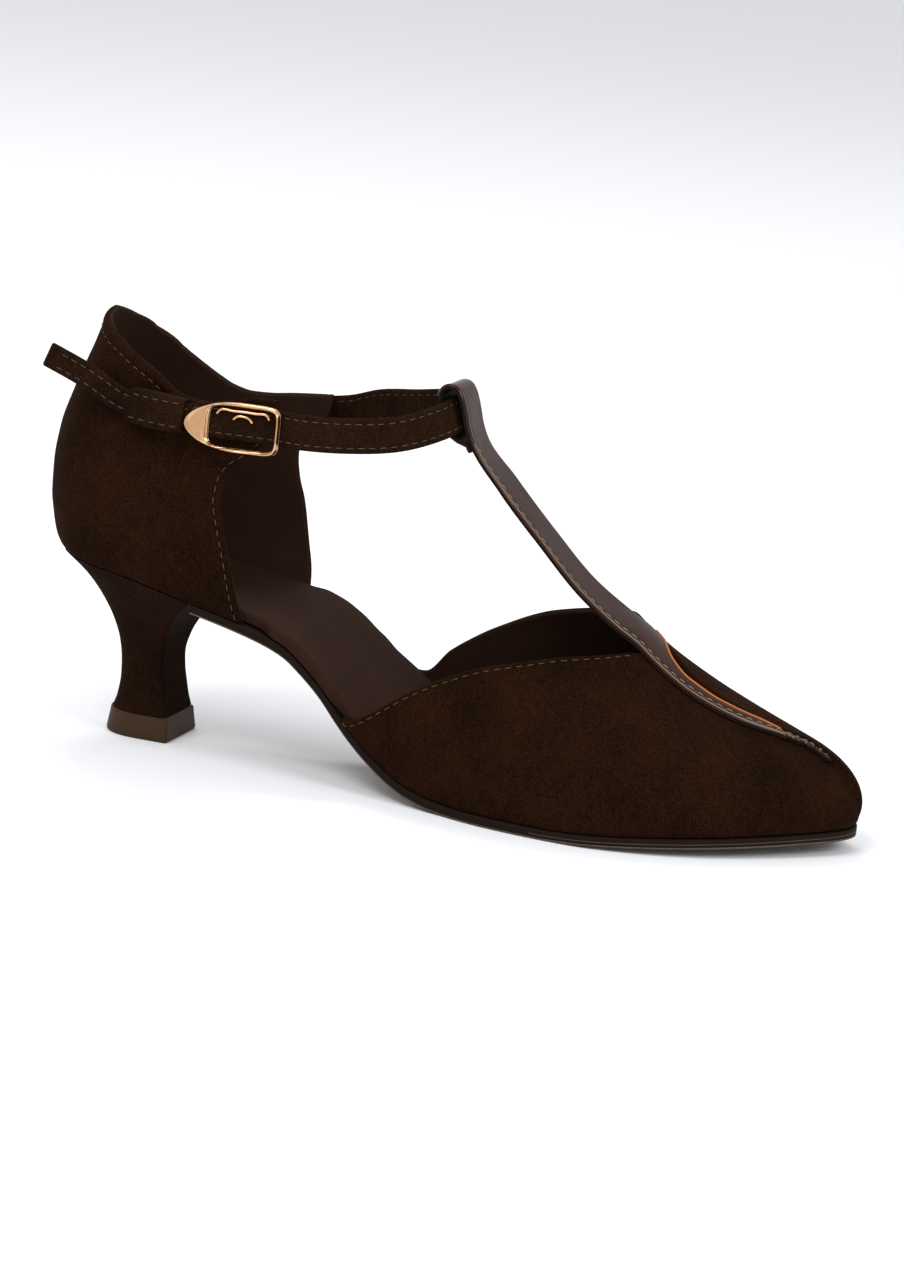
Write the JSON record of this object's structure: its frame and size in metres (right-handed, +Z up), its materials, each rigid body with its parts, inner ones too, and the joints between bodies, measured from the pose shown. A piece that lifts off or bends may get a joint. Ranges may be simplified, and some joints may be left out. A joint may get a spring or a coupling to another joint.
{
  "type": "ballroom dance shoe",
  "caption": "Closed-toe T-strap ballroom dance shoe for the right foot, with open sides, a buckled ankle strap and a waisted covered heel.",
  "frame": {"origin": "middle of the shoe's box, on the floor it stands on", "axes": "+X towards the toe, +Y towards the inner side of the foot, +Z up"},
  "size_m": [0.24, 0.0786, 0.1207],
  "materials": {
    "suede": "dark brown suede",
    "patent": "near-black patent leather",
    "sock": "smooth dark brown lining leather",
    "sole": "dark sole leather",
    "tip": "dark plastic",
    "gold": "pale rose-gold plating"
  },
  "bodies": {
    "root": {"outsole": "sole", "insole": "sock", "heel": "suede", "heel_tip": "tip", "upper_quarter": "suede", "upper_vamp": "suede", "ankle_strap": "suede", "strap_keeper": "suede", "t_strap": "patent", "buckle_frame": "gold", "buckle_bar": "gold", "buckle_prong": "gold"}
  },
  "joints": []
}
